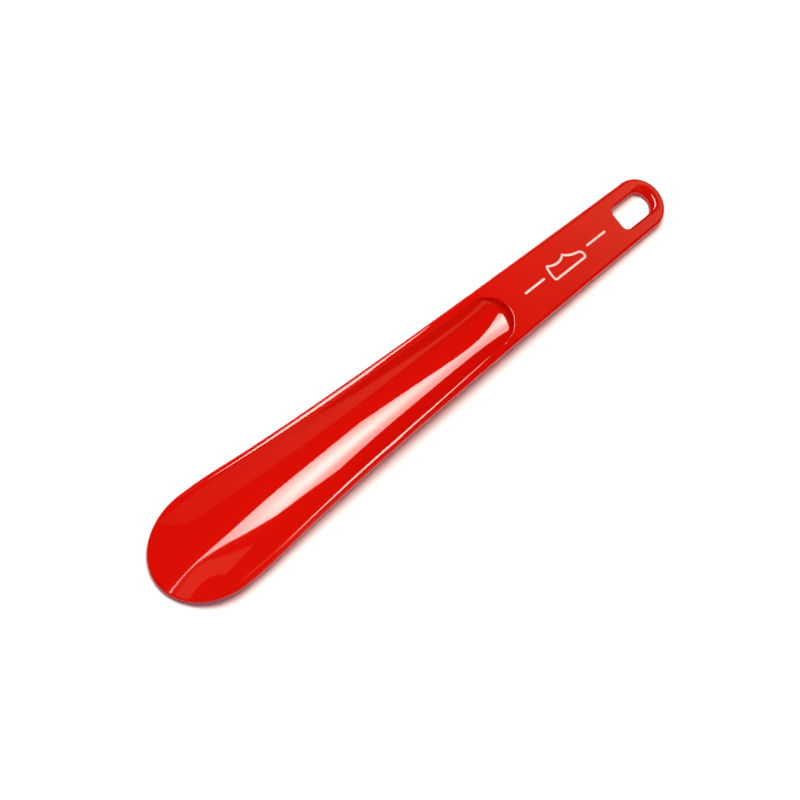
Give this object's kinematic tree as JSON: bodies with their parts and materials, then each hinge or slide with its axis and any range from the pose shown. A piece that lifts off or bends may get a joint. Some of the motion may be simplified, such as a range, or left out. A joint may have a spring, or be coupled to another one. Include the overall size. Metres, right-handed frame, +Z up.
{
  "type": "long shoehorn",
  "caption": "Long glossy plastic shoehorn with a trough-shaped blade, a flat handle and a rounded hanging hole near the end.",
  "frame": {"origin": "centre of the footprint, on the table that the shoehorn lies on, trough upwards", "axes": "+X from the blade's tip to the handle's end, +Y across, +Z up out of the trough"},
  "size_m": [0.26, 0.04, 0.0073],
  "materials": {
    "red_plastic": "gloss",
    "white_ink": "satin"
  },
  "bodies": {
    "root": {"moulded_body": "red_plastic", "printed_rule_near_blade": "white_ink", "printed_shoe_outline": "white_ink", "printed_rule_near_hole": "white_ink"}
  },
  "joints": []
}
